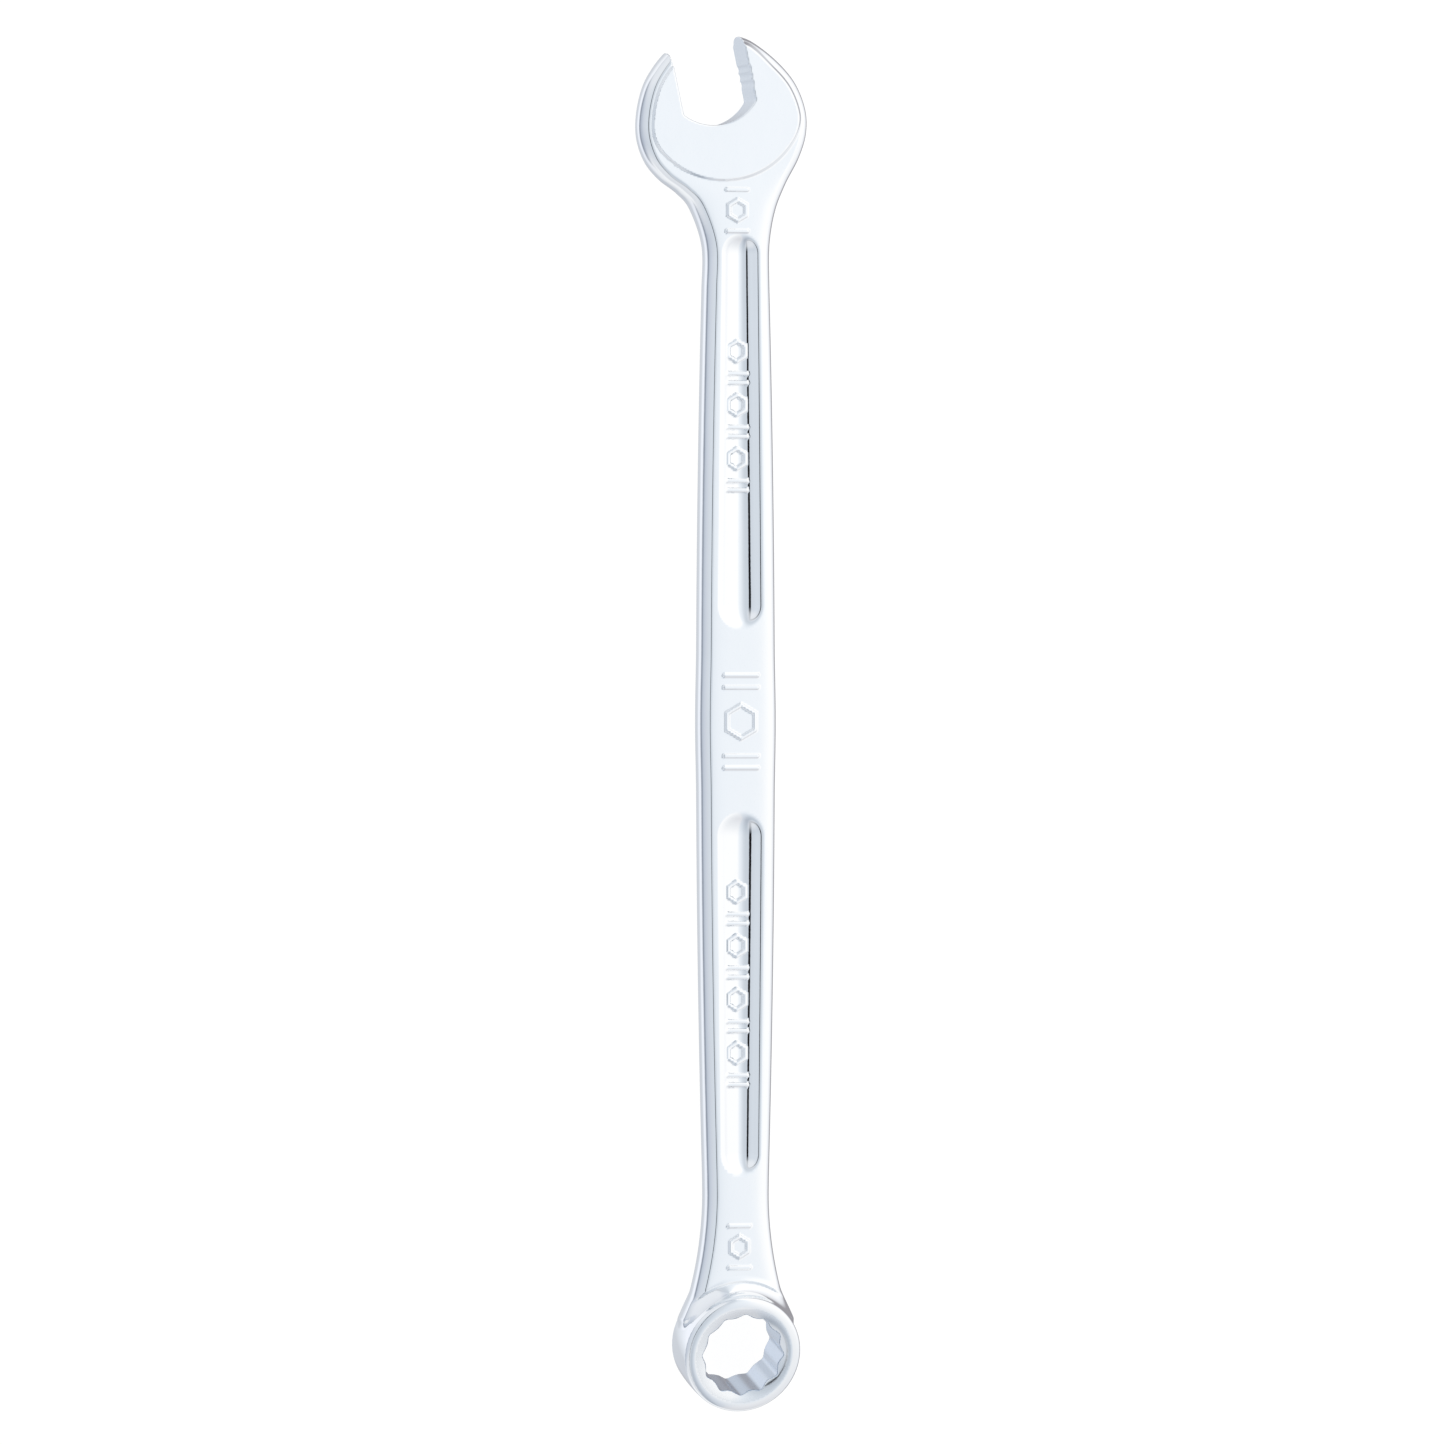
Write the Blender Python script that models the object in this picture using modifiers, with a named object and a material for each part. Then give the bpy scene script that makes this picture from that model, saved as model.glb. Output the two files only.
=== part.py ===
"""Combination wrench for a 5/16 in hexagon: open end, grooved shank and twelve-point box end.

The wrench is one forging, so its three regions are separate solids with a narrow joint line at
each neck. It is drawn level, with its front face up (+Z) and its open end at +Y, and then laid
down in the pose in which it rests: on its jaw tips and on the far edge of its ring.
"""

import math

import bmesh
import bpy
import numpy as np
from mathutils import Matrix, Vector

MM = 0.001

# Stations along the wrench, on its own level Y axis
OPEN_NECK_Y = 53.6 * MM
BOX_NECK_Y = -52.0 * MM
NODE_GAP = 0.3 * MM

# Shank: half sizes at the necks, and how much its face widens towards the middle
SHANK_FACE_HALF = 2.85 * MM
SHANK_SWELL = 0.75 * MM
SHANK_HALF_THICKNESS = 2.2 * MM
SHANK_SIDE_BULGE = 0.6 * MM
SWELL_REACH = 50.0 * MM
SHANK_CUTS_Y = 17
SIDE_LEVELS = (-0.85, -0.5, 0.0, 0.5, 0.85)
FLARE_START = 46.0 * MM
FLARE_RATE = 14.0

# Grooves, as (far end, chord there, near end, chord there), the same on both faces
GROOVES = (
    (52.4 * MM, 3.6 * MM, 10.3 * MM, 4.5 * MM),
    (-48.7 * MM, 4.0 * MM, -10.1 * MM, 4.5 * MM),
)
GROOVE_DEPTH = 0.75 * MM

# Open end
JAW_GAP = 8.2 * MM
JAW_OFFSET = math.radians(12)
JAW_CENTRE = Vector((-3.05 * MM, 69.35 * MM, 0))
THROAT_DEPTH = 5.0 * MM
THROAT_RADIUS = 5.5 * MM
JAW_CUTTER_REACH = 12.0 * MM
HEAD_HALF_THICKNESS = 2.25 * MM
HEAD_EDGE_RADIUS = 0.75 * MM
PAD_CENTRE = Vector((-1.75 * MM, 68.2 * MM, 0))
PAD_RADIUS = 9.6 * MM
PAD_STEP = 0.2 * MM
HEAD_OUTLINE = (
    (4.15, 53.75),
    (4.7, 56.6),
    (6.5, 60.5),
    (7.55, 65.0),
    (5.9, 69.9),
    (0.9, 74.0),
    (-7.4, 72.5),
    (-10.2, 69.1),
    (-10.95, 65.0),
    (-9.6, 60.0),
    (-6.1, 56.9),
    (-4.15, 53.75),
)

# Box end
RING_CENTRE = Vector((0, -67.5 * MM, -0.3 * MM))
RING_TILT = math.radians(15)
RING_RADIUS = 6.5 * MM
RING_HEIGHT = 6.3 * MM
RING_EDGE_RADIUS = 1.3 * MM
HEX_ACROSS_FLATS = 8.0 * MM
LEAD_IN_DEPTH = 0.9 * MM
LEAD_IN_RADIUS = 4.95 * MM
PILOT_RADIUS = 3.5 * MM
RING_STEPS = 56
BOX_NECK_END = -64.8 * MM
BOX_NECK_FLARE_START = 52.0 * MM
BOX_NECK_FLARE = 11.5

MERGE = 0.01 * MM


def clear_scene():
    for obj in list(bpy.data.objects):
        bpy.data.objects.remove(obj)


def new_collection(name):
    collection = bpy.data.collections.new(name)
    bpy.context.scene.collection.children.link(collection)
    return collection


def steel(name, colour, roughness):
    material = bpy.data.materials.new(name)
    material.use_nodes = True
    shader = material.node_tree.nodes["Principled BSDF"]
    shader.inputs["Base Color"].default_value = (*colour, 1)
    shader.inputs["Metallic"].default_value = 1
    shader.inputs["Roughness"].default_value = roughness
    return material


def place(obj, collection, helper=False):
    """Link an object, and hide it from the render when it only shapes another one."""
    collection.objects.link(obj)
    if helper:
        obj.hide_render = True
        obj.display_type = "WIRE"
    return obj


def shank_half_width(y):
    """Half the width of the shank's flat face, a shallow swell that flares out at both necks."""
    swell = SHANK_SWELL * max(0.0, 1 - (y / SWELL_REACH) ** 2)
    flare = FLARE_RATE * max(0.0, abs(y) - FLARE_START) ** 2
    return SHANK_FACE_HALF + swell + flare


def box_neck_half_width(y):
    flare = BOX_NECK_FLARE * max(0.0, abs(y) - BOX_NECK_FLARE_START) ** 2
    return shank_half_width(BOX_NECK_Y) + flare


def bar(name, low_y, high_y, cuts, half_width):
    """A box, sliced along its length and height and then drawn out to the given half width."""
    shape = bmesh.new()
    bmesh.ops.create_cube(shape, size=2)
    slices = [(Vector((0, 1, 0)), -1 + 2 * (k + 1) / (cuts + 1)) for k in range(cuts)]
    slices += [(Vector((0, 0, 1)), level) for level in SIDE_LEVELS]
    for normal, level in slices:
        geometry = shape.verts[:] + shape.edges[:] + shape.faces[:]
        bmesh.ops.bisect_plane(shape, geom=geometry, plane_co=normal * level, plane_no=normal)
    for vertex in shape.verts:
        side, along, level = vertex.co
        y = low_y + (high_y - low_y) * (along + 1) / 2
        bulge = SHANK_SIDE_BULGE * math.sqrt(max(0.0, 1 - level * level))
        vertex.co = (side * (half_width(y) + bulge), y, level * SHANK_HALF_THICKNESS)
    mesh = bpy.data.meshes.new(name)
    shape.to_mesh(mesh)
    shape.free()
    return bpy.data.objects.new(name, mesh)


def turned(name, profile, steps, closed=False):
    """A profile of (radius, height) points, from its top down, turned about local Z."""
    mesh = bpy.data.meshes.new(name)
    points = [(radius, 0, height) for radius, height in profile]
    edges = [(i, i + 1) for i in range(len(points) - 1)]
    if closed:
        edges.append((len(points) - 1, 0))
    mesh.from_pydata(points, edges, [])
    obj = bpy.data.objects.new(name, mesh)
    screw = obj.modifiers.new("turn", "SCREW")
    screw.axis = "Z"
    screw.angle = math.tau
    screw.steps = steps
    screw.render_steps = steps
    screw.use_merge_vertices = True
    screw.merge_threshold = MERGE
    return obj


def arc(centre, radius, start, end, count):
    """Points of (radius, height) on an arc, with its angles in degrees from the radial axis."""
    angles = [math.radians(start + (end - start) * k / count) for k in range(count + 1)]
    return [(centre[0] + radius * math.cos(a), centre[1] + radius * math.sin(a)) for a in angles]


def plate(name, points, half_thickness, smooth):
    """A flat outline, extruded to both sides of the level plane and made a mesh.

    A smooth outline curves through its points, with a straight edge from its last to its first.
    """
    curve = bpy.data.curves.new(name + "_outline", "CURVE")
    curve.dimensions = "2D"
    curve.fill_mode = "BOTH"
    curve.extrude = half_thickness
    curve.resolution_u = 5
    if smooth:
        spline = curve.splines.new("BEZIER")
        spline.bezier_points.add(len(points) - 1)
        for knot, (x, y) in zip(spline.bezier_points, points):
            knot.co = (x, y, 0)
            knot.handle_left_type = "AUTO"
            knot.handle_right_type = "AUTO"
        for corner in (spline.bezier_points[0], spline.bezier_points[-1]):
            corner.handle_left_type = "VECTOR"
            corner.handle_right_type = "VECTOR"
    else:
        spline = curve.splines.new("POLY")
        spline.points.add(len(points) - 1)
        for knot, (x, y) in zip(spline.points, points):
            knot.co = (x, y, 0, 1)
    spline.use_cyclic_u = True
    outline = bpy.data.objects.new(name + "_outline", curve)
    bpy.context.scene.collection.objects.link(outline)
    graph = bpy.context.evaluated_depsgraph_get()
    mesh = bpy.data.meshes.new_from_object(outline.evaluated_get(graph))
    bpy.data.objects.remove(outline)
    shape = bmesh.new()
    shape.from_mesh(mesh)
    bmesh.ops.remove_doubles(shape, verts=shape.verts, dist=MERGE)
    bmesh.ops.recalc_face_normals(shape, faces=shape.faces)
    shape.to_mesh(mesh)
    shape.free()
    return bpy.data.objects.new(name, mesh)


def combine(obj, tool, operation):
    modifier = obj.modifiers.new(f"{operation.lower()}_{tool.name}", "BOOLEAN")
    modifier.operation = operation
    modifier.solver = "EXACT"
    modifier.object = tool


def groove_cutter(name, far_y, far_chord, near_y, near_chord, side):
    """A turned spindle with round ends, which sinks GROOVE_DEPTH into the face on one side."""
    radii = [((c / 2) ** 2 + GROOVE_DEPTH**2) / (2 * GROOVE_DEPTH) for c in (far_chord, near_chord)]
    inward = math.copysign(1, near_y - far_y)
    ends = []
    for y, chord, radius, step in zip(
        (far_y, near_y), (far_chord, near_chord), radii, (inward, -inward)
    ):
        centre_y = y + step * chord / 2
        height = SHANK_HALF_THICKNESS - GROOVE_DEPTH + radius
        ends.append(Vector((0, centre_y, side * height)))
    axis = ends[0] - ends[1]
    profile = arc((0, axis.length), radii[0], 90, 0, 10) + arc((0, 0), radii[1], 0, -90, 10)
    profile[0] = (0, profile[0][1])
    profile[-1] = (0, profile[-1][1])
    cutter = turned(name, profile, 72)
    turn = axis.to_track_quat("Z", "X").to_matrix().to_4x4()
    cutter.matrix_world = Matrix.Translation(ends[1]) @ turn
    return cutter


def build_shank(parts, helpers):
    half_gap = NODE_GAP / 2
    low_y = BOX_NECK_Y + half_gap
    high_y = OPEN_NECK_Y - half_gap
    shank = bar("shank", low_y, high_y, SHANK_CUTS_Y, shank_half_width)
    place(shank, parts)
    for number, groove in enumerate(GROOVES, 1):
        for side, face in ((1, "front"), (-1, "back")):
            cutter = groove_cutter(f"groove_{number}_{face}_cutter", *groove, side)
            combine(shank, place(cutter, helpers, True), "DIFFERENCE")
    return shank


def jaw_outline():
    """The gap between the jaws, about JAW_CENTRE, with the opening towards +Y."""
    half = JAW_GAP / 2
    centre_y = THROAT_RADIUS - THROAT_DEPTH
    reach = math.degrees(math.asin(half / THROAT_RADIUS))
    throat = arc((0, centre_y), THROAT_RADIUS, -90 - reach, -90 + reach, 10)
    return throat + [(half, JAW_CUTTER_REACH), (-half, JAW_CUTTER_REACH)]


def build_open_end(parts, helpers):
    outline = [(x * MM, y * MM) for x, y in HEAD_OUTLINE]
    head = place(plate("open_end_head", outline, HEAD_HALF_THICKNESS, True), parts)
    edge = head.modifiers.new("round_rim", "BEVEL")
    edge.width = HEAD_EDGE_RADIUS
    edge.segments = 3
    edge.limit_method = "ANGLE"
    edge.angle_limit = math.radians(60)

    cutter = plate("jaw_cutter", jaw_outline(), 3 * HEAD_HALF_THICKNESS, False)
    cutter.location = JAW_CENTRE
    cutter.rotation_euler.z = JAW_OFFSET
    combine(head, place(cutter, helpers, True), "DIFFERENCE")

    top = HEAD_HALF_THICKNESS + 2 * MM
    step_z = HEAD_HALF_THICKNESS - PAD_STEP
    outside = [
        (PAD_RADIUS, top),
        (3 * PAD_RADIUS, top),
        (3 * PAD_RADIUS, step_z),
        (PAD_RADIUS, step_z),
    ]
    for face, flip in (("front", 0), ("back", math.pi)):
        relief = turned(f"pad_step_{face}_cutter", outside, 72, closed=True)
        relief.location = PAD_CENTRE
        relief.rotation_euler.x = flip
        combine(head, place(relief, helpers, True), "DIFFERENCE")
    return head


def ring_profile():
    """The ring's section: rounded rims outside, a lead-in cone at each mouth of the pilot hole."""
    half_height = RING_HEIGHT / 2
    rim = half_height - RING_EDGE_RADIUS
    barrel = RING_RADIUS - RING_EDGE_RADIUS
    throat = half_height - LEAD_IN_DEPTH
    profile = [(LEAD_IN_RADIUS, half_height)]
    profile += arc((barrel, rim), RING_EDGE_RADIUS, 90, 0, 4)
    profile += arc((barrel, -rim), RING_EDGE_RADIUS, 0, -90, 4)
    profile += [(LEAD_IN_RADIUS, -half_height)]
    profile += [(PILOT_RADIUS, -throat), (PILOT_RADIUS, throat)]
    return profile


def build_box_end(parts, helpers):
    half_gap = NODE_GAP / 2
    high_y = BOX_NECK_Y - half_gap
    head = bar("box_end_head", BOX_NECK_END, high_y, 8, box_neck_half_width)
    place(head, parts)

    ring = turned("ring_blank", ring_profile(), RING_STEPS, closed=True)
    ring.location = RING_CENTRE
    ring.rotation_euler.x = RING_TILT
    combine(head, place(ring, helpers, True), "UNION")

    for number, turn in enumerate((0, math.pi / 6), 1):
        bpy.ops.mesh.primitive_cylinder_add(
            vertices=6,
            radius=HEX_ACROSS_FLATS / 2 / math.cos(math.pi / 6),
            depth=4 * RING_HEIGHT,
            location=RING_CENTRE,
        )
        hexagon = bpy.context.object
        hexagon.name = f"hexagon_{number}_cutter"
        tilt = Matrix.Rotation(RING_TILT, 3, "X") @ Matrix.Rotation(turn, 3, "Z")
        hexagon.rotation_euler = tilt.to_euler()
        bpy.context.collection.objects.unlink(hexagon)
        combine(head, place(hexagon, helpers, True), "DIFFERENCE")
    return head


def world_points(obj):
    graph = bpy.context.evaluated_depsgraph_get()
    evaluated = obj.evaluated_get(graph)
    mesh = evaluated.to_mesh()
    points = np.array([obj.matrix_world @ vertex.co for vertex in mesh.vertices])
    evaluated.to_mesh_clear()
    return points


def lay_down(frame, open_end, shank, box_end):
    """Pitch the frame until both ends touch one plane, then centre it over the origin."""
    bpy.context.view_layer.update()
    for _ in range(6):
        jaws = world_points(open_end)
        ring = world_points(box_end)
        low_jaws = jaws[jaws[:, 2].argmin()]
        low_ring = ring[ring[:, 2].argmin()]
        run = low_jaws[1] - low_ring[1]
        frame.rotation_euler.x -= math.atan2(low_jaws[2] - low_ring[2], run)
        bpy.context.view_layer.update()
    points = np.concatenate([world_points(obj) for obj in (open_end, shank, box_end)])
    low, high = points.min(axis=0), points.max(axis=0)
    frame.location.x -= (low[0] + high[0]) / 2
    frame.location.y -= (low[1] + high[1]) / 2
    frame.location.z -= low[2]
    bpy.context.view_layer.update()


def finish(obj, material, frame):
    obj.parent = frame
    obj.data.materials.clear()
    obj.data.materials.append(material)
    obj.data.shade_smooth()
    obj.data.set_sharp_from_angle(angle=math.radians(35))


def main():
    clear_scene()
    parts = new_collection("combination_wrench")
    helpers = new_collection("cutters")
    frame = place(bpy.data.objects.new("wrench_frame", None), parts)
    open_end = build_open_end(parts, helpers)
    shank = build_shank(parts, helpers)
    box_end = build_box_end(parts, helpers)
    for helper in list(helpers.objects):
        helper.parent = frame
    finish(open_end, steel("open_end_chrome", (0.80, 0.82, 0.85), 0.12), frame)
    finish(shank, steel("shank_chrome", (0.82, 0.84, 0.86), 0.10), frame)
    finish(box_end, steel("box_end_chrome", (0.78, 0.80, 0.83), 0.12), frame)
    lay_down(frame, open_end, shank, box_end)


main()
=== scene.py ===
"""Looks of the combination wrench: one continuous chrome-plated forging.

The wrench is described by one signed field in millimetres, in its own level frame: front face up,
open end at +Y. The field is negative inside the steel, so regions join with true forged fillets.
A surface net turns it into quads, and the mesh is laid down where the CAD model lies.
"""

import math

import bpy
import numpy as np
from mathutils import Matrix, Vector


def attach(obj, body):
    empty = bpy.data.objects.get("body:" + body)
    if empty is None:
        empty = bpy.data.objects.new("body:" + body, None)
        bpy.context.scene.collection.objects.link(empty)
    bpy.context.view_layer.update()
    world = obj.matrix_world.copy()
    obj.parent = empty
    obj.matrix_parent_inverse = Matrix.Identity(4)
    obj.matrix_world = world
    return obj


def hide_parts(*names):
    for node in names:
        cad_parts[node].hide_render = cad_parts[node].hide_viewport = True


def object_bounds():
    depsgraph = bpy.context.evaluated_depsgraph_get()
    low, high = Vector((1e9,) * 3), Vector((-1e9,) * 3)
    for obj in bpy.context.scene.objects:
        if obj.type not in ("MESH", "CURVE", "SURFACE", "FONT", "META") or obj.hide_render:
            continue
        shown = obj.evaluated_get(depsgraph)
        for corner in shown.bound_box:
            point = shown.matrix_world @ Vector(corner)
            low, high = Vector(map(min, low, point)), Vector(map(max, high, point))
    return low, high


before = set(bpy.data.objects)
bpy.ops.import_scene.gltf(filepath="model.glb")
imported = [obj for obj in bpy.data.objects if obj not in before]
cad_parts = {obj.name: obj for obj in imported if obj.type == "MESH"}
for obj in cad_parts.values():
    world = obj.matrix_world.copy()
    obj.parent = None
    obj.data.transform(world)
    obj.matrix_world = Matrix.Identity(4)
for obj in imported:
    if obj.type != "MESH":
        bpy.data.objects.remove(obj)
cad_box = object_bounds()

MM = 0.001

# Mesh fineness, in millimetres: across the wrench, and along it up to each station
CROSS_STEP = 0.15
LENGTH_STEPS = (
    (-58.8, 0.15),
    (-53.4, 0.20),
    (-39.5, 0.40),
    (-16.5, 0.20),
    (-12.5, 0.40),
    (-9.5, 0.25),
    (-6.3, 0.40),
    (6.3, 0.20),
    (9.5, 0.40),
    (13.0, 0.25),
    (22.5, 0.40),
    (42.0, 0.20),
    (50.0, 0.40),
    (53.0, 0.20),
    (75.0, 0.15),
)

# The net's box, in millimetres, and how much of it is worked out at a time
NET_X = (-11.6, 8.2)
NET_Z = (-5.7, 5.1)
NET_START_Y = -75.0
SLICES_AT_A_TIME = 24
POINTS_AT_A_TIME = 4000

# Drawing the net onto the surface: passes, gradient step, least squared slope, longest move
SETTLE_PASSES = 3
SETTLE_STEP = 0.01
SETTLE_LEAST_SLOPE = 0.25
SETTLE_LONGEST = 0.1
NORMAL_STEP = 0.04

# Finding the pitch at which it lies
PITCH_PASSES = 6

# Stretches of the length where each end's own shapes are worked out, and how far off a shape counts
BOX_END_BELOW = -55.0
OPEN_END_ABOVE = 50.0
OUTLINE_MARGIN = 12
GROOVE_MARGIN = 4

# Shank, in millimetres on the wrench's own level axes; widths are at mid thickness
SWELL_REACH = 50.0
SHANK_HALF = 3.52
SWELL = 0.7
MIDDLE_REACH = 8.0
MIDDLE_SWELL = 0.1
HALF_THICKNESS = 2.2
SIDE_BULGE = 0.46
BODY_EDGE = 0.6
ROLL_OFF = 0.12
ROLL_REACH = 0.5

# Necks: where the outline leaves the shank, and how fast the box end's neck widens
OPEN_NECK_Y = 48.0
BOX_NECK_Y = -51.0
BOX_NECK_FLARE = 0.0127
BOX_NECK_END = -64.5

# Fineness of the outline: along the neck and the shank, and between two points of a head
NECK_SPACING = 0.5
SHANK_SPACING = 2.0
HEAD_SPANS = 12

# Right and left side of the open end's outline at mid thickness, from the neck to the tip
HEAD_RIGHT = (
    (3.6, 51.4),
    (4.22, 55.1),
    (5.38, 58.0),
    (6.93, 60.9),
    (7.77, 63.6),
    (7.68, 66.3),
    (6.48, 69.2),
    (4.35, 71.6),
    (1.6, 73.6),
    (-0.4, 74.25),
)
HEAD_LEFT = (
    (-3.6, 51.4),
    (-4.95, 55.3),
    (-6.45, 57.0),
    (-8.5, 58.5),
    (-10.1, 60.4),
    (-11.0, 63.0),
    (-10.98, 65.8),
    (-10.25, 68.7),
    (-8.98, 70.9),
    (-7.45, 72.7),
)
HEAD_HALF_THICKNESS = 1.93
HEAD_BLEND = (55.0, 61.0)

# Raised pads: insets from the outline below and at the tips, and slopes of the wall on left and right
PAD_CENTRE = (-2.1, 67.8)
PAD_RADIUS = 9.3
PAD_INSETS = (1.28, 0.95)
PAD_TIP_BLEND = (70.5, 73.5)
PAD_CORNER = 0.5
PAD_LEVEL = 2.33
PAD_ROOT = HEAD_HALF_THICKNESS - 0.3
PAD_SLOPES = (0.14, 0.8)
PAD_SLOPE_BLEND = (-7.0, 2.0)
PAD_EDGE = 0.06
PAD_FOOT = 0.08

# Jaw gap, about its own centre and turned axis
JAW_GAP = 8.2
JAW_CENTRE = (-3.05, 69.35)
JAW_OFFSET = math.radians(12)
THROAT_DEPTH = 5.0
THROAT_RADIUS = 5.5
JAW_CORNER = 0.15
JAW_EDGE = 0.17
SCALLOPS = (0.4, -0.42, -1.26)
SCALLOP_RADIUS = 0.8
SCALLOP_DEPTH = 0.11

# Grooves: far end, chord there, near end, chord there
GROOVES = ((52.4, 3.7, 10.3, 4.5), (-48.7, 3.9, -10.1, 4.6))
GROOVE_DEPTH = 0.75
GROOVE_SHOULDER = 0.26

# Ring of the box end
RING_CENTRE = (0.16, -67.63, -0.3)
RING_TILT = math.radians(15)
RING_RADIUS = 6.42
RING_BULGE = 0.1
RING_HALF_HEIGHT = 3.15
RING_EDGE = 0.3
RING_CREST = 5.5
RING_DOME = 0.25

# Fillet round the ring: its radius elsewhere and on the left
RING_FILLETS = (1.7, 1.3)
FILLET_BLEND = (-1.5, -5.0)

# Shallow relief of the neck's front beside the ring: its depth on the left, in the middle, on the right
RELIEF_REACH = 1.2
RELIEF_STEPS = (0.55, 0.32, 0.25)
RELIEF_ASIDE = (2.2, 5.2)
RELIEF_RAMP = 0.4
RELIEF_EDGE = 0.45

# Twelve-point hole: two hexagons, and a rounded mouth on each side
HEX_HALF = 4.0
STAR_CORNER = 0.25
STAR_RIDGE = 0.2
MOUTH_RADIUS = 4.1
MOUTH_ROUND = 0.8
MOUTH_EDGE = 0.06
HOLE_EDGE = 0.1

# Raised plain marks
MARK_STROKE = 0.44
MARK_HEIGHT = 0.15
MARK_CORNER = 0.05
MARK_EDGE = 0.12
MARK_FOOT = 0.1
GROOVE_MARK_SINK = 0.32
GROOVE_MARK_X = -0.35
GROOVE_MARK_RADIUS = 1.35
GROOVE_BAR_OFFSET = 0.5
UPPER_MARKS = tuple(40.0 - 2.9 * k for k in range(6))
LOWER_MARKS = tuple(-18.4 - 2.9 * k for k in range(8))
CENTRE_MARK_RADIUS = 2.05
CENTRE_BARS = (-5.0, -3.7, 3.7, 5.0)
END_MARKS = ((-0.4, 55.2), (-0.2, -56.7))
END_MARK_RADIUS = 1.35
END_BARS = 2.25

# Finishes, by number: name, colour, roughness and how far it varies
FINISHES = (
    ("polished_chrome", (0.93, 0.94, 0.95), 0.018, 0.008),
    ("jaw_satin", (0.86, 0.90, 0.94), 0.24, 0.04),
    # The socket walls are satin, and their darker, bluer colour is painted shade inside the hole
    ("socket_satin_painted_shade", (0.70, 0.76, 0.84), 0.2, 0.04),
    ("lead_in_satin", (0.84, 0.86, 0.88), 0.14, 0.03),
)
POLISHED, JAW_SATIN, SOCKET_SATIN_PAINTED_SHADE, LEAD_IN_SATIN = range(len(FINISHES))

# Where the satin finishes are: how near a wall counts, and the walls' limits
WALL_TOLERANCE = 0.05
SOCKET_HALF_HEIGHT = RING_HALF_HEIGHT - 0.2
SOCKET_REACH = 4.75
LEAD_IN_REACH = RING_CREST - 0.1
JAW_HALF_HEIGHT = PAD_LEVEL - 0.05
JAW_START_Y = 60.0


def blend(value, start, end):
    """0 at start, 1 at end, and smooth between them."""
    t = np.clip((value - start) / (end - start), 0, 1)
    return t * t * (3 - 2 * t)


def between(first, last, share):
    return first + (last - first) * share


def soft_min(a, b, reach):
    """Union of two fields with a fillet."""
    mix = np.maximum(reach - np.abs(a - b), 0) / reach
    return np.minimum(a, b) - mix * mix * reach / 4


def soft_max(a, b, reach):
    """Intersection of two fields with a softened edge."""
    return -soft_min(-a, -b, reach)


def round_max(a, b, radius):
    """Intersection of two fields with an edge rounded to a true radius."""
    a = a + radius
    b = b + radius
    outside = np.hypot(np.maximum(a, 0), np.maximum(b, 0))
    return outside + np.minimum(np.maximum(a, b), 0) - radius


def round_min(a, b, radius):
    """Union of two fields with a fillet rounded to a true radius."""
    return -round_max(-a, -b, radius)


def hexagon(x, y, half, soft):
    """Field of a hexagon with flats at half from its centre."""
    field = np.abs(x) - half
    for turn in (math.pi / 3, -math.pi / 3):
        side = np.abs(x * math.cos(turn) + y * math.sin(turn)) - half
        field = soft_max(field, side, soft)
    return field


def shank_half_width(y):
    swell = SWELL * np.maximum(0, 1 - (y / SWELL_REACH) ** 2)
    middle = MIDDLE_SWELL * np.maximum(0, 1 - (y / MIDDLE_REACH) ** 2) ** 2
    return SHANK_HALF + swell + middle


def curve_through(points, steps):
    """Points on a smooth curve through the given ones, end tangents along the first and last run."""
    knots = np.array([points[0], *points, points[-1]], float)
    t = np.linspace(0, 1, steps, endpoint=False)[:, None]
    runs = []
    for p0, p1, p2, p3 in zip(knots, knots[1:], knots[2:], knots[3:]):
        runs.append(
            p1
            + t * (p2 - p0) / 2
            + t**2 * (p0 - 2.5 * p1 + 2 * p2 - p3 / 2)
            + t**3 * (1.5 * (p1 - p2) + (p3 - p0) / 2)
        )
    return np.concatenate([*runs, knots[-1:]])


def plan_outline():
    """The forging's outline at mid thickness, without its jaw gap and ring, as a closed loop."""
    neck = np.arange(BOX_NECK_END, BOX_NECK_Y, NECK_SPACING)
    shank = np.arange(BOX_NECK_Y, OPEN_NECK_Y, SHANK_SPACING)
    neck_half = shank_half_width(BOX_NECK_Y) + BOX_NECK_FLARE * (neck - BOX_NECK_Y) ** 2
    half = np.concatenate([neck_half, shank_half_width(shank)])
    y = np.concatenate([neck, shank])
    right = np.column_stack([half, y])
    left = np.column_stack([-half, y])
    head_right = curve_through([tuple(right[-1]), *HEAD_RIGHT], HEAD_SPANS)[1:]
    head_left = curve_through([tuple(left[-1]), *HEAD_LEFT], HEAD_SPANS)[1:]
    return np.concatenate([right, head_right, head_left[::-1], left[::-1]])


OUTLINE = plan_outline()


def outline_field(x, y):
    """Signed distance in plan to the outline, negative inside."""
    x, y = np.broadcast_arrays(x, y)
    nearest = np.full(x.shape, np.inf)
    crossings = np.zeros(x.shape, bool)
    low, high = y.min() - OUTLINE_MARGIN, y.max() + OUTLINE_MARGIN
    for (ax, ay), (bx, by) in zip(OUTLINE, np.roll(OUTLINE, -1, axis=0)):
        if max(ay, by) < low or min(ay, by) > high:
            continue
        ex, ey = bx - ax, by - ay
        wx, wy = x - ax, y - ay
        t = np.clip((wx * ex + wy * ey) / (ex * ex + ey * ey), 0, 1)
        nearest = np.minimum(nearest, (wx - t * ex) ** 2 + (wy - t * ey) ** 2)
        spans = (ay > y) != (by > y)
        if ay != by:
            crossings ^= spans & (wx < ex * wy / ey)
    return np.where(crossings, -1, 1) * np.sqrt(nearest)


def ring_axes(x, y, z):
    """Coordinates about the ring: along its axis, across it, and the distance from its axis."""
    dx, dy, dz = x - RING_CENTRE[0], y - RING_CENTRE[1], z - RING_CENTRE[2]
    across = dy * math.cos(RING_TILT) + dz * math.sin(RING_TILT)
    along = dz * math.cos(RING_TILT) - dy * math.sin(RING_TILT)
    return along, dx, across, np.hypot(dx, across)


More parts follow.
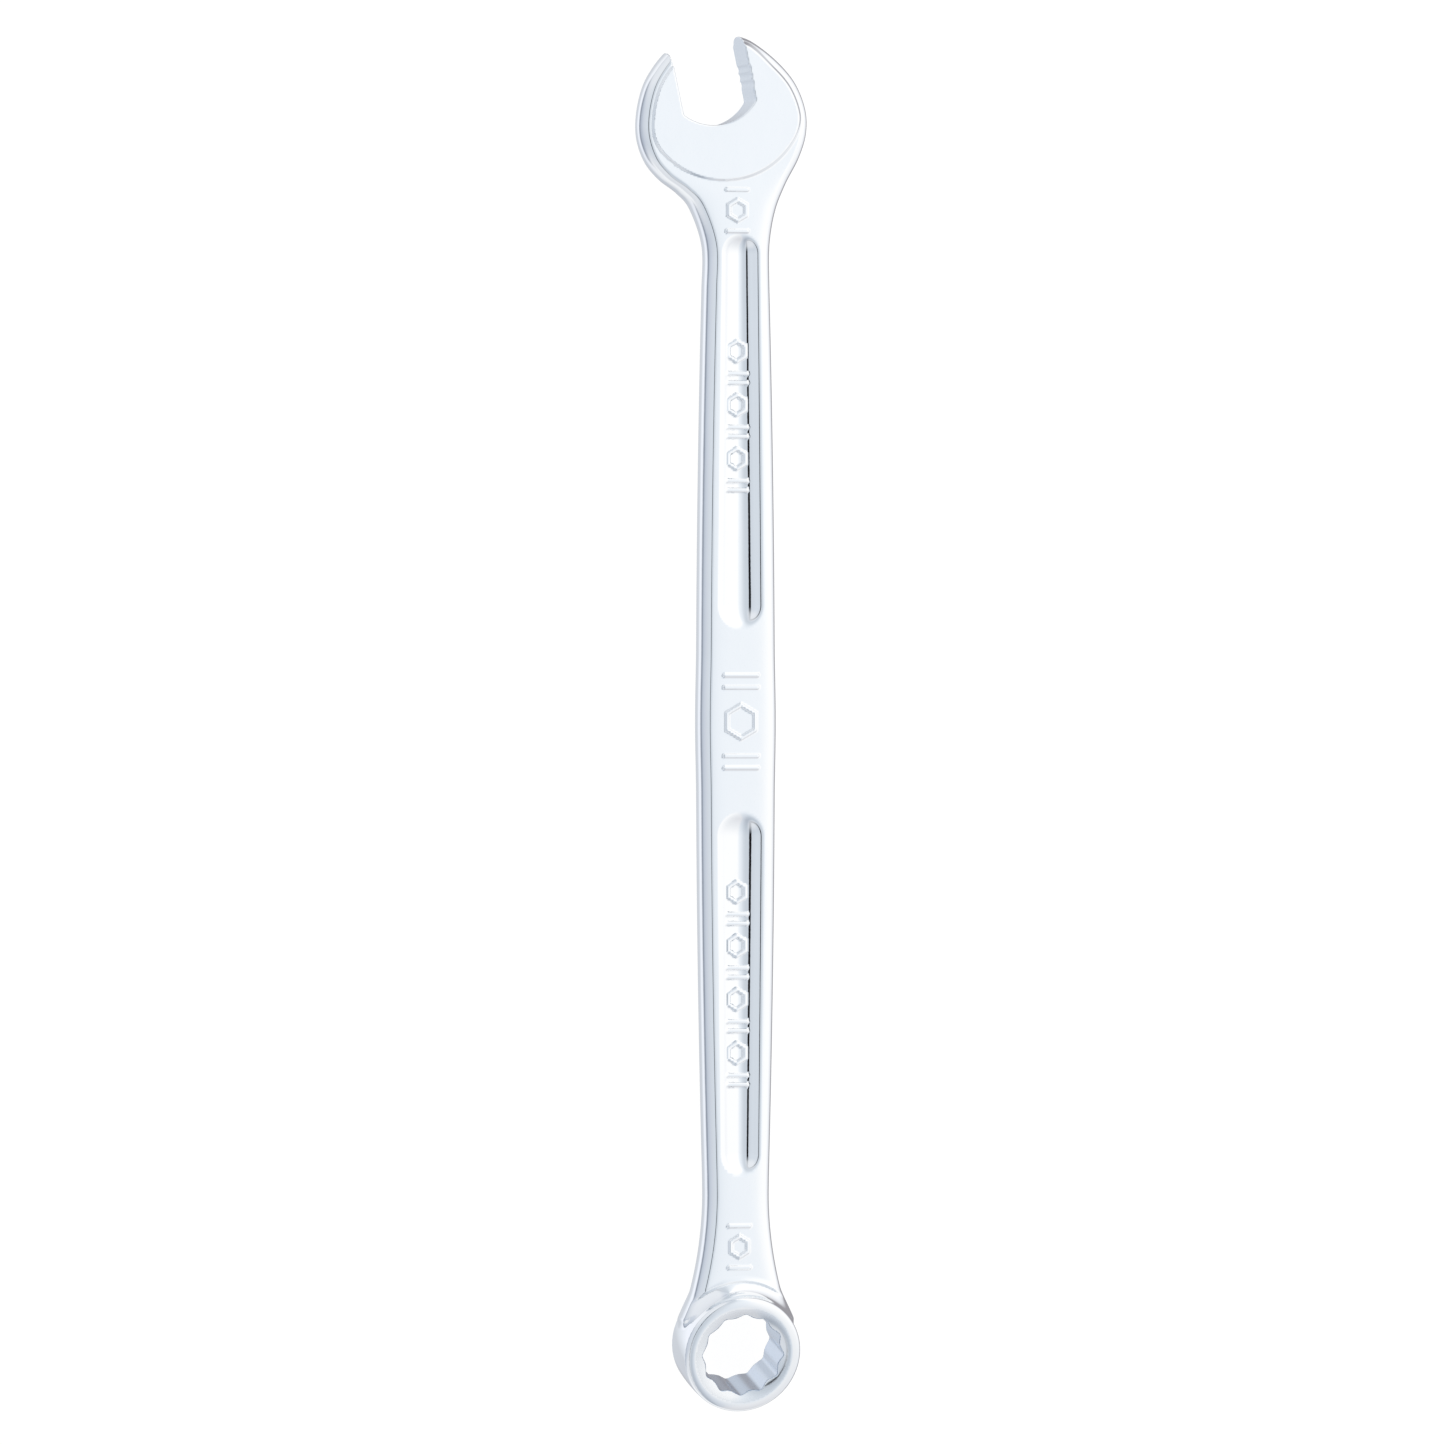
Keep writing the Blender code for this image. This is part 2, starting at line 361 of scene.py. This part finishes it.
def ring_field(along, radius):
    barrel = radius - RING_RADIUS - RING_BULGE * (1 - (along / RING_HALF_HEIGHT) ** 2)
    face = RING_HALF_HEIGHT - RING_DOME * (radius - RING_CREST) ** 2
    return round_max(barrel, np.abs(along) - face, RING_EDGE)


def twelve_point_star(dx, across):
    """Section of the hole: two hexagons turned 30 degrees."""
    fields = []
    for turn in (0, math.pi / 6):
        u = dx * math.cos(turn) + across * math.sin(turn)
        v = across * math.cos(turn) - dx * math.sin(turn)
        fields.append(hexagon(u, v, HEX_HALF, STAR_CORNER))
    return soft_min(*fields, STAR_RIDGE)


def twelve_point_field(along, dx, across, radius):
    """The hole, with a rounded mouth on each side."""
    star = twelve_point_star(dx, across)
    out = MOUTH_RADIUS + MOUTH_ROUND - radius
    rise = np.abs(along) - RING_HALF_HEIGHT + MOUTH_ROUND
    mouth = np.maximum(MOUTH_ROUND - np.hypot(out, rise), np.maximum(-out, -rise))
    return soft_min(star, mouth, MOUTH_EDGE)


def pad_field(x, y, z, plan):
    """The raised pads of the open end, whose walls are gentler on the right."""
    to_pad = np.hypot(x - PAD_CENTRE[0], y - PAD_CENTRE[1])
    inset = between(*PAD_INSETS, blend(y, *PAD_TIP_BLEND))
    pad = soft_max(plan + inset, to_pad - PAD_RADIUS, PAD_CORNER)
    slope = between(*PAD_SLOPES, blend(x, *PAD_SLOPE_BLEND))
    drop = np.maximum(np.abs(z), PAD_ROOT) - PAD_LEVEL
    pad = (pad + slope * drop) / np.hypot(1, slope)
    return round_max(pad, np.abs(z) - PAD_LEVEL, PAD_EDGE)


def body_field(x, y, z, near_ring):
    """Shank, necks and open end, relieved where near_ring is 1, and their half thickness."""
    plan = outline_field(x, y)
    head = blend(y, *HEAD_BLEND)
    half = between(HALF_THICKNESS, HEAD_HALF_THICKNESS, head)
    top = half - ROLL_OFF * (1 - head) * np.exp(np.minimum(plan + SIDE_BULGE, 1) / ROLL_REACH)
    left, middle, right = RELIEF_STEPS
    aside = blend(np.abs(x), *RELIEF_ASIDE)
    top = top - between(middle, np.where(x < 0, left, right), aside) * near_ring
    side = plan + SIDE_BULGE * (z / half) ** 2
    body = round_max(side, np.abs(z) - top, between(BODY_EDGE, RELIEF_EDGE, near_ring))
    if y.max() > OPEN_END_ABOVE:
        body = soft_min(body, pad_field(x, y, z, plan), PAD_FOOT)
    return body, half


def groove_field(x, y, z, far_y, far_chord, near_y, near_chord):
    """A round cone lying over the face, mirrored on both faces."""
    radius_far = ((far_chord / 2) ** 2 + GROOVE_DEPTH**2) / (2 * GROOVE_DEPTH)
    radius_near = ((near_chord / 2) ** 2 + GROOVE_DEPTH**2) / (2 * GROOVE_DEPTH)
    inward = math.copysign(1, near_y - far_y)
    a = far_y + inward * far_chord / 2
    b = near_y - inward * near_chord / 2
    t = np.clip((y - a) / (b - a), 0, 1)
    radius = radius_far + t * (radius_near - radius_far)
    centre_y = a + t * (b - a)
    centre_z = HALF_THICKNESS - GROOVE_DEPTH + radius
    return np.sqrt(x * x + (y - centre_y) ** 2 + (np.abs(z) - centre_z) ** 2) - radius


def jaw_field(x, y):
    """The gap between the jaws: parallel flats, a throat arc and scallops."""
    dx, dy = x - JAW_CENTRE[0], y - JAW_CENTRE[1]
    across = dx * math.cos(JAW_OFFSET) + dy * math.sin(JAW_OFFSET)
    depth = dy * math.cos(JAW_OFFSET) - dx * math.sin(JAW_OFFSET)
    centre = THROAT_RADIUS - THROAT_DEPTH
    circle = np.hypot(across, depth - centre) - THROAT_RADIUS
    above = np.minimum(circle, centre - depth)
    gap = soft_max(np.abs(across) - JAW_GAP / 2, above, JAW_CORNER)
    for place in SCALLOPS:
        away = JAW_GAP / 2 + SCALLOP_DEPTH - SCALLOP_RADIUS
        scallop = np.hypot(across - away, depth - place) - SCALLOP_RADIUS
        gap = np.minimum(gap, scallop)
    return gap


def hexagon_outline(x, y, radius):
    flat = radius * math.cos(math.pi / 6) - MARK_STROKE / 2
    return np.abs(hexagon(x, y, flat, MARK_CORNER)) - MARK_STROKE / 2


def bar_field(x, y, half_x):
    """A short bar across the wrench with round ends."""
    away = np.maximum(np.abs(x) - half_x + MARK_STROKE / 2, 0)
    return np.hypot(away, y) - MARK_STROKE / 2


def face_marks(x, y):
    """Plan of the raised marks on the flat face."""
    marks = hexagon_outline(x, y, CENTRE_MARK_RADIUS)
    for place in CENTRE_BARS:
        marks = np.minimum(marks, bar_field(x, y - place, CENTRE_MARK_RADIUS))
    for place_x, place_y in END_MARKS:
        marks = np.minimum(marks, hexagon_outline(x - place_x, y - place_y, END_MARK_RADIUS))
        for side in (-1, 1):
            bar = bar_field(x - place_x, y - place_y - side * END_BARS, END_MARK_RADIUS)
            marks = np.minimum(marks, bar)
    return marks


def groove_marks(x, y):
    """Plan of the raised marks on the floors of the front grooves."""
    marks = np.inf
    dx = x - GROOVE_MARK_X
    for number, place in enumerate(UPPER_MARKS + LOWER_MARKS):
        if number % 2 == 0:
            marks = np.minimum(marks, hexagon_outline(dx, y - place, GROOVE_MARK_RADIUS))
            continue
        for offset in (GROOVE_BAR_OFFSET, -GROOVE_BAR_OFFSET):
            marks = np.minimum(marks, bar_field(dx, y - place - offset, GROOVE_MARK_RADIUS))
    return marks


def with_marks(field, plan, z, level):
    """Adds raised marks to the front, up to a level."""
    raised = soft_max(plan, z - level, MARK_EDGE)
    return soft_min(field, np.maximum(raised, -z), MARK_FOOT)


def wrench_field(x, y, z):
    """The whole wrench, negative inside."""
    low, high = y.min(), y.max()
    near_ring = 0.0
    if low < BOX_END_BELOW:
        along, dx, across, radius = ring_axes(x, y, z)
        ring = ring_field(along, radius)
        near_ring = np.where(z > 0, blend(ring, RELIEF_REACH, RELIEF_REACH - RELIEF_RAMP), 0)
    field, half = body_field(x, y, z, near_ring)
    field = with_marks(field, face_marks(x, y), z, half + MARK_HEIGHT)
    for groove in GROOVES:
        if max(groove[0], groove[2]) + GROOVE_MARGIN < low:
            continue
        if min(groove[0], groove[2]) - GROOVE_MARGIN > high:
            continue
        field = soft_max(field, -groove_field(x, y, z, *groove), GROOVE_SHOULDER)
    field = with_marks(field, groove_marks(x, y), z, half - GROOVE_MARK_SINK)
    if high > OPEN_END_ABOVE:
        field = soft_max(field, -jaw_field(x, y), JAW_EDGE)
    if low < BOX_END_BELOW:
        field = round_min(field, ring, between(*RING_FILLETS, blend(x, *FILLET_BLEND)))
        field = soft_max(field, -twelve_point_field(along, dx, across, radius), HOLE_EDGE)
    return field


def stations(low, high, step):
    return np.linspace(low, high, max(2, round((high - low) / step)), endpoint=False)


def grid_axes(coarsening):
    """Grid lines along each axis, finer along the heads and the marks than elsewhere."""
    x = stations(*NET_X, CROSS_STEP * coarsening)
    z = stations(*NET_Z, CROSS_STEP * coarsening)
    runs = []
    low = NET_START_Y
    for high, step in LENGTH_STEPS:
        runs.append(stations(low, high, step * coarsening))
        low = high
    return x, np.concatenate(runs), z


def sample_grid(x, y, z):
    """The field at every grid point, a few slices of the length at a time."""
    slabs = []
    for part in np.array_split(y, max(1, len(y) // SLICES_AT_A_TIME)):
        slab = wrench_field(x[:, None, None], part[None, :, None], z[None, None, :])
        slabs.append(slab.astype(np.float32))
    return np.concatenate(slabs, axis=1)


def surface_net(axes, field):
    """One vertex for each cell that the surface crosses, one quad for each crossed grid edge."""
    inside = field < 0
    cells = tuple(n - 1 for n in field.shape)
    corner_offsets = [(i, j, k) for i in (0, 1) for j in (0, 1) for k in (0, 1)]

    def at(values, offset):
        return values[tuple(slice(o, o + c) for o, c in zip(offset, cells))]

    count = sum(at(inside, offset).astype(np.int8) for offset in corner_offsets)
    active = np.argwhere((count > 0) & (count < 8))
    index = np.full(cells, -1, np.int64)
    index[tuple(active.T)] = np.arange(len(active))

    total = np.zeros((len(active), 3))
    hits = np.zeros(len(active))
    for start in corner_offsets:
        for axis in range(3):
            if start[axis]:
                continue
            end = tuple(o + (a == axis) for a, o in enumerate(start))
            first = field[tuple((active + start).T)].astype(float)
            last = field[tuple((active + end).T)].astype(float)
            crossed = (first < 0) != (last < 0)
            share = np.where(crossed, first / np.where(crossed, first - last, 1), 0)
            point = np.column_stack([axes[a][active[:, a] + start[a]] for a in range(3)])
            step = axes[axis][active[:, axis] + 1] - axes[axis][active[:, axis]]
            point[:, axis] += share * step
            total += point * crossed[:, None]
            hits += crossed
    points = total / hits[:, None]

    quads = []
    for axis in range(3):
        u, v = (axis + 1) % 3, (axis + 2) % 3
        first = inside[tuple(slice(0, -1) if a == axis else slice(1, -1) for a in range(3))]
        last = inside[tuple(slice(1, None) if a == axis else slice(1, -1) for a in range(3))]
        for rising in (True, False):
            edges = np.argwhere(first & ~last if rising else ~first & last)
            corners = []
            for du, dv in ((0, 0), (1, 0), (1, 1), (0, 1)):
                cell = edges.copy()
                cell[:, u] += du
                cell[:, v] += dv
                corners.append(index[tuple(cell.T)])
            quad = np.column_stack(corners)
            quads.append(quad if rising else quad[:, ::-1])
    return points, np.concatenate(quads)


def slopes(points, step):
    """The field's gradient at scattered points, by central differences."""
    columns = []
    for axis in range(3):
        ahead, behind = points.copy(), points.copy()
        ahead[:, axis] += step
        behind[:, axis] -= step
        columns.append((field_at(ahead) - field_at(behind)) / (2 * step))
    return np.column_stack(columns)


def field_at(points):
    """The field at scattered points, worked out in bands along the length."""
    order = np.argsort(points[:, 1], kind="stable")
    values = np.empty(len(points))
    for band in np.array_split(order, max(1, len(points) // POINTS_AT_A_TIME)):
        values[band] = wrench_field(*points[band].T)
    return values


def settle(points):
    """Draws the net's points onto the surface and returns them with their normals."""
    for _ in range(SETTLE_PASSES):
        slope = slopes(points, SETTLE_STEP)
        steep = np.maximum((slope**2).sum(axis=1), SETTLE_LEAST_SLOPE)
        move = slope * (field_at(points) / steep)[:, None]
        length = np.linalg.norm(move, axis=1, keepdims=True)
        points = points - move * np.minimum(1, SETTLE_LONGEST / np.maximum(length, 1e-9))
    normals = slopes(points, NORMAL_STEP)
    return points, normals / np.linalg.norm(normals, axis=1, keepdims=True)


def finishes(points):
    """Number of the finish at each point."""
    x, y, z = points.T
    along, dx, across, radius = ring_axes(x, y, z)
    box_end = y < BOX_END_BELOW
    # The socket walls' finish carries painted shade: a darker, bluer colour inside the hole
    socket = box_end & (np.abs(along) < SOCKET_HALF_HEIGHT) & (radius < SOCKET_REACH)
    socket &= np.abs(twelve_point_star(dx, across)) < WALL_TOLERANCE
    lead_in = box_end & (radius < LEAD_IN_REACH)
    jaw = (y > JAW_START_Y) & (np.abs(z) < JAW_HALF_HEIGHT)
    jaw &= np.abs(jaw_field(x, y)) < WALL_TOLERANCE
    return np.select([socket, lead_in, jaw], [SOCKET_SATIN_PAINTED_SHADE, LEAD_IN_SATIN, JAW_SATIN], POLISHED)


def laid_down(points, normals):
    """Pitches the level wrench onto its jaw tips and ring, inside the CAD model's box, in metres."""
    points = points * MM
    pitch = 0.0
    turned = points
    for _ in range(PITCH_PASSES):
        jaws = turned[turned[:, 1] > OPEN_END_ABOVE * MM]
        ring = turned[turned[:, 1] < BOX_END_BELOW * MM]
        low_jaws = jaws[jaws[:, 2].argmin()]
        low_ring = ring[ring[:, 2].argmin()]
        pitch -= math.atan2(low_jaws[2] - low_ring[2], low_jaws[1] - low_ring[1])
        turned = points @ np.array(Matrix.Rotation(pitch, 3, "X")).T
    low, high = turned.min(axis=0), turned.max(axis=0)
    shift = [(cad_box[0][a] + cad_box[1][a] - low[a] - high[a]) / 2 for a in (0, 1)]
    shift.append(cad_box[0][2] - low[2])
    place = Matrix.Translation(shift) @ Matrix.Rotation(pitch, 4, "X")
    return turned + np.array(shift), normals @ np.array(place.to_3x3()).T, place


def build_wrench():
    """Makes the wrench and returns the matrix that laid it down."""
    coarsening = 1.0
    axes = grid_axes(coarsening)
    level, quads = surface_net(axes, sample_grid(*axes))
    level, normals = settle(level)
    # A quad takes the second lowest of its corners' finishes, so that a lone corner can't set it
    finish = np.sort(finishes(level)[quads], axis=1)[:, 1]
    points, normals, place = laid_down(level, normals)

    mesh = bpy.data.meshes.new("wrench_body")
    mesh.from_pydata(points, [], quads)
    mesh.shade_smooth()
    mesh.normals_split_custom_set_from_vertices(normals)
    for name, colour, roughness, spread in FINISHES:
        mesh.materials.append(chrome(name, colour, roughness, spread))
    mesh.polygons.foreach_set("material_index", finish.astype(np.int32))
    wrench = bpy.data.objects.new("wrench_body", mesh)
    bpy.context.scene.collection.objects.link(wrench)
    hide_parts("open_end_head", "shank", "box_end_head")
    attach(wrench, "root")
    return place


# Chrome: cloud of tint and roughness (scale, detail, darkest tint), and bumps as scale and height
CLOUD = (180, 3, 0.975)
WAVES = (420, 0.000006)
PITS = (3200, 0.0000013)


def node(tree, kind, **values):
    made = tree.nodes.new(kind)
    for name, value in values.items():
        setattr(made, name, value)
    return made


def noise_bump(tree, place, scale, height, before=None):
    """Adds a bump of soft noise, in features per metre and metres, onto the bump before it."""
    noise = node(tree, "ShaderNodeTexNoise")
    noise.inputs["Scale"].default_value = scale
    noise.inputs["Detail"].default_value = 1
    tree.links.new(place.outputs["Object"], noise.inputs["Vector"])
    bump = node(tree, "ShaderNodeBump")
    bump.inputs["Strength"].default_value = 1.0
    bump.inputs["Distance"].default_value = height
    tree.links.new(noise.outputs["Fac"], bump.inputs["Height"])
    if before:
        tree.links.new(before.outputs["Normal"], bump.inputs["Normal"])
    return bump


def chrome(name, colour, roughness, spread):
    """Plated steel: a mirror with faint waves from the forging and fine pits from polishing."""
    material = bpy.data.materials.new(name)
    material.use_nodes = True
    tree = material.node_tree
    shader = tree.nodes["Principled BSDF"]
    shader.inputs["Metallic"].default_value = 1.0
    link = tree.links.new
    place = node(tree, "ShaderNodeTexCoord")

    cloud = node(tree, "ShaderNodeTexNoise")
    scale, detail, darkest = CLOUD
    cloud.inputs["Scale"].default_value = scale
    cloud.inputs["Detail"].default_value = detail
    link(place.outputs["Object"], cloud.inputs["Vector"])

    tint = node(tree, "ShaderNodeMixRGB")
    tint.inputs["Color1"].default_value = (*colour, 1)
    tint.inputs["Color2"].default_value = (*(c * darkest for c in colour), 1)
    link(cloud.outputs["Fac"], tint.inputs["Fac"])
    link(tint.outputs["Color"], shader.inputs["Base Color"])

    rough = node(tree, "ShaderNodeMapRange")
    rough.inputs["To Min"].default_value = roughness - spread
    rough.inputs["To Max"].default_value = roughness + spread
    link(cloud.outputs["Fac"], rough.inputs["Value"])
    link(rough.outputs["Result"], shader.inputs["Roughness"])

    waves = noise_bump(tree, place, *WAVES)
    pits = noise_bump(tree, place, *PITS, waves)
    link(pits.outputs["Normal"], shader.inputs["Normal"])
    return material


# Light around the wrench, by the angle of a direction from straight up towards its left side
ACROSS = (
    (-180, (0.65, 0.68, 0.73)),
    (-166, (0.50, 0.50, 0.53)),
    (-150, (0.33, 0.32, 0.345)),
    (-124, (0.36, 0.35, 0.375)),
    (-108, (0.80, 0.81, 0.84)),
    (-92, (0.96, 0.97, 1.00)),
    (-70, (1.08, 1.08, 1.08)),
    (-24, (1.08, 1.08, 1.08)),
    (-20, (1.04, 1.05, 1.06)),
    (-16, (0.93, 0.97, 1.015)),
    (-9, (0.84, 0.89, 0.945)),
    (-2, (0.72, 0.77, 0.83)),
    (5, (0.645, 0.70, 0.76)),
    (14, (0.63, 0.68, 0.745)),
    (40, (0.71, 0.765, 0.83)),
    (70, (0.68, 0.725, 0.79)),
    (90, (0.64, 0.685, 0.77)),
    (118, (0.56, 0.615, 0.69)),
    (131, (0.50, 0.55, 0.64)),
    (135, (0.42, 0.46, 0.54)),
    (139, (0.25, 0.28, 0.34)),
    (142, (0.48, 0.52, 0.59)),
    (145, (0.92, 0.95, 1.02)),
    (152, (0.94, 0.97, 1.04)),
    (157, (0.80, 0.84, 0.90)),
    (163, (0.66, 0.69, 0.74)),
    (180, (0.65, 0.68, 0.73)),
)

# A dark strip beside the camera: its angle and half width, its colour, where it fades out and in,
# in half widths, and how dark it is by the Y part
STRIP = (math.radians(20), math.radians(3.8))
STRIP_COLOUR = (0.01, 0.01, 0.012)
STRIP_FADE = (1.25, 0.75)
STRIP_DARKNESS = ((-1.0, 0.0), (-0.5, 0.35), (-0.12, 1.0), (0.12, 1.0), (0.5, 0.35), (1.0, 0.0))

# How the light falls off towards the box end, by the Y part of a direction
ALONG = (
    (-1.0, (0.66, 0.67, 0.70)),
    (-0.9, (0.68, 0.69, 0.72)),
    (-0.75, (0.76, 0.77, 0.80)),
    (-0.6, (0.81, 0.825, 0.85)),
    (-0.45, (0.86, 0.875, 0.895)),
    (-0.2, (0.955, 0.96, 0.97)),
    (0.0, (1.0, 1.0, 1.0)),
    (0.05, (1.02, 1.02, 1.02)),
    (1.0, (1.02, 1.02, 1.02)),
)

# The left side lightens towards both ends: limits of |Y|, limits of X, and the colour
SIDE_GLOW = ((0.2, 0.6), (-0.08, -0.3), (0.96, 0.975, 1.0))
SIDE_GLOW_SHARE = 0.6

# Where the white floor shows again, low and towards the box end: Y parts, Z parts and the colour
FLOOR_GLOW = ((-0.4, -0.8), (0.1, -0.2), (0.95, 0.97, 0.99))


def ramp(tree, stops, low, high):
    """A colour ramp whose stops are given as (value, colour) between low and high."""
    made = tree.nodes.new("ShaderNodeValToRGB")
    elements = made.color_ramp.elements
    while len(elements) > 1:
        elements.remove(elements[-1])
    for number, (value, colour) in enumerate(stops):
        stop = elements[0] if number == 0 else elements.new((value - low) / (high - low))
        stop.position = (value - low) / (high - low)
        stop.color = (*colour, 1)
    return made


def math_node(tree, operation, *values):
    """A maths node on sockets or numbers."""
    made = node(tree, "ShaderNodeMath", operation=operation)
    for socket, value in zip(made.inputs, values):
        if isinstance(value, (int, float)):
            socket.default_value = value
        else:
            tree.links.new(value, socket)
    return made.outputs[0]


def fade(tree, value, start, end):
    """0 at start, 1 at end, and smooth between them."""
    made = node(tree, "ShaderNodeMapRange", interpolation_type="SMOOTHSTEP")
    made.inputs["From Min"].default_value = start
    made.inputs["From Max"].default_value = end
    tree.links.new(value, made.inputs["Value"])
    return made.outputs["Result"]


def laid_over(tree, under, colour, share):
    """One plain colour over the colour so far, by a share."""
    made = node(tree, "ShaderNodeMixRGB")
    tree.links.new(share, made.inputs["Fac"])
    tree.links.new(under, made.inputs["Color1"])
    made.inputs["Color2"].default_value = (*colour, 1)
    return made.outputs["Color"]


def studio_colour(tree):
    """The colour of the studio in a direction."""
    place = node(tree, "ShaderNodeTexCoord")
    split = node(tree, "ShaderNodeSeparateXYZ")
    tree.links.new(place.outputs["Generated"], split.inputs["Vector"])
    x, y, z = split.outputs
    angle = math_node(tree, "ARCTAN2", math_node(tree, "MULTIPLY", x, -1), z)
    turn = math_node(tree, "MULTIPLY_ADD", angle, 0.5 / math.pi, 0.5)
    across = ramp(tree, ACROSS, -180, 180)
    tree.links.new(turn, across.inputs["Fac"])

    rise = math_node(tree, "MULTIPLY_ADD", y, 0.5, 0.5)
    along = ramp(tree, ALONG, -1, 1)
    darkness = ramp(tree, [(value, (level,) * 3) for value, level in STRIP_DARKNESS], -1, 1)
    tree.links.new(rise, along.inputs["Fac"])
    tree.links.new(rise, darkness.inputs["Fac"])
    shaded = node(tree, "ShaderNodeMixRGB", blend_type="MULTIPLY")
    shaded.inputs["Fac"].default_value = 1
    tree.links.new(across.outputs["Color"], shaded.inputs["Color1"])
    tree.links.new(along.outputs["Color"], shaded.inputs["Color2"])

    (inner, outer), (middle, side), light = SIDE_GLOW
    ends = fade(tree, math_node(tree, "ABSOLUTE", y), inner, outer)
    left = fade(tree, x, middle, side)
    share = math_node(tree, "MULTIPLY", math_node(tree, "MULTIPLY", ends, left), SIDE_GLOW_SHARE)
    colour = laid_over(tree, shaded.outputs["Color"], light, share)

    (near, far), (high, low), light = FLOOR_GLOW
    share = math_node(tree, "MULTIPLY", fade(tree, y, near, far), fade(tree, z, high, low))
    colour = laid_over(tree, colour, light, share)

    strip_angle, half_width = STRIP
    sideways = math_node(tree, "DIVIDE", math_node(tree, "SUBTRACT", angle, strip_angle), half_width)
    within = fade(tree, math_node(tree, "ABSOLUTE", sideways), *STRIP_FADE)
    share = math_node(tree, "MULTIPLY", within, darkness.outputs["Color"])
    return laid_over(tree, colour, STRIP_COLOUR, share)


def build_world():
    """The studio, which the camera itself sees as plain white."""
    world = bpy.data.worlds.new("studio")
    bpy.context.scene.world = world
    world.use_nodes = True
    tree = world.node_tree
    tree.nodes.clear()
    seen = node(tree, "ShaderNodeLightPath")
    mix = node(tree, "ShaderNodeMixRGB")
    tree.links.new(seen.outputs["Is Camera Ray"], mix.inputs["Fac"])
    tree.links.new(studio_colour(tree), mix.inputs["Color1"])
    mix.inputs["Color2"].default_value = (1, 1, 1, 1)
    glow = node(tree, "ShaderNodeBackground")
    tree.links.new(mix.outputs["Color"], glow.inputs["Color"])
    out = node(tree, "ShaderNodeOutputWorld")
    tree.links.new(glow.outputs["Background"], out.inputs["Surface"])


# White sweep, in metres: half its side, its drop below the wrench, its reflectance and its glow
SWEEP_HALF = 3.0
SWEEP_DROP = 0.00002
SWEEP_REFLECTANCE = 0.12
SWEEP_GLOW = 0.94


def build_floor():
    """A white sweep that takes a faint shadow and lets the studio show in the chrome."""
    mesh = bpy.data.meshes.new("floor")
    corners = [(SWEEP_HALF * x, SWEEP_HALF * y, 0) for x, y in ((-1, -1), (1, -1), (1, 1), (-1, 1))]
    mesh.from_pydata(corners, [], [(0, 1, 2, 3)])
    floor = bpy.data.objects.new("floor", mesh)
    floor.location.z = cad_box[0][2] - SWEEP_DROP
    bpy.context.scene.collection.objects.link(floor)
    material = bpy.data.materials.new("white_sweep")
    material.use_nodes = True
    tree = material.node_tree
    tree.nodes.clear()
    link = tree.links.new
    matt = node(tree, "ShaderNodeBsdfDiffuse")
    matt.inputs["Color"].default_value = (*(SWEEP_REFLECTANCE,) * 3, 1)
    glow = node(tree, "ShaderNodeEmission")
    glow.inputs["Strength"].default_value = SWEEP_GLOW
    both = node(tree, "ShaderNodeAddShader")
    link(matt.outputs["BSDF"], both.inputs[0])
    link(glow.outputs["Emission"], both.inputs[1])
    clear = node(tree, "ShaderNodeBsdfTransparent")
    seen = node(tree, "ShaderNodeLightPath")
    mix = node(tree, "ShaderNodeMixShader")
    link(seen.outputs["Is Glossy Ray"], mix.inputs["Fac"])
    link(both.outputs["Shader"], mix.inputs[1])
    link(clear.outputs["BSDF"], mix.inputs[2])
    out = node(tree, "ShaderNodeOutputMaterial")
    link(mix.outputs["Shader"], out.inputs["Surface"])
    mesh.materials.append(material)


# Camera, in metres: far away, to the left of the face's normal; it aims at a point in millimetres,
# given along the picture's width, along the wrench, and up from it
VIEW_ANGLE = math.radians(16)
VIEW_DISTANCE = 1.2
FRAME_WIDTH = 0.156
AIM = (-2.0, -0.1, 2.2)
SENSOR_WIDTH = 36
CLIP_END = 20


def build_camera(place):
    data = bpy.data.cameras.new("camera")
    camera = bpy.data.objects.new("camera", data)
    bpy.context.scene.collection.objects.link(camera)
    data.sensor_width = SENSOR_WIDTH
    data.lens = data.sensor_width * VIEW_DISTANCE / FRAME_WIDTH
    data.clip_end = CLIP_END
    back = Vector((-math.sin(VIEW_ANGLE), 0, math.cos(VIEW_ANGLE)))
    right = Vector((0, 1, 0)).cross(back)
    aim = right * AIM[0] * MM + Vector((0, AIM[1] * MM, AIM[2] * MM))
    turn = Matrix((right, (0, 1, 0), back)).transposed().to_4x4()
    camera.matrix_world = place @ Matrix.Translation(aim + back * VIEW_DISTANCE) @ turn
    bpy.context.scene.camera = camera


def main():
    place = build_wrench()
    build_floor()
    build_world()
    build_camera(place)
    scene = bpy.context.scene
    scene.view_settings.view_transform = "Standard"
    scene.view_settings.look = "None"


main()
